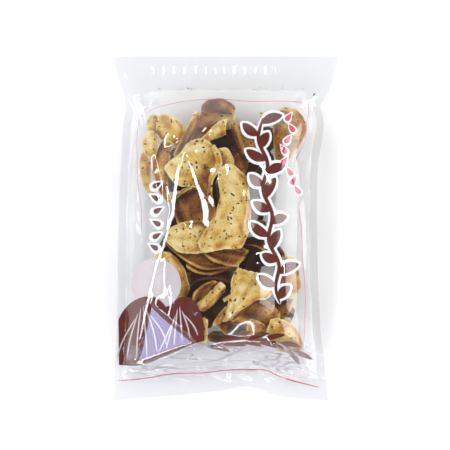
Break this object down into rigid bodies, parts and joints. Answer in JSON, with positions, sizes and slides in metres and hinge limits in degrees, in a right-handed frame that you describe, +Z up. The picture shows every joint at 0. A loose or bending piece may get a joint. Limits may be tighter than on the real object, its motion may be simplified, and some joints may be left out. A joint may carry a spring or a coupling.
{
  "type": "bag of karinto",
  "caption": "Clear press-zip pillow bag filled with thin curled sesame karinto, lying on its back.",
  "frame": {"origin": "on the surface that the bag lies on, under the middle of its outline", "axes": "+Z up out of the printed side, +Y towards the header with the zip, +X to the right of the printed side"},
  "size_m": [0.2001, 0.306, 0.0609],
  "materials": {
    "clear_film": "clear glossy film, shown in the colour of the karinto behind it",
    "karinto": "dry fried dough, golden with browned rims",
    "black_sesame": "matt black seed",
    "brown_print": "opaque brown ink behind the film",
    "white_print": "opaque white ink behind the film",
    "pink_print": "pink ink behind the film",
    "beige_print": "pale beige ink behind the film"
  },
  "bodies": {
    "root": {"filled_bag": "clear_film"}
  },
  "joints": []
}
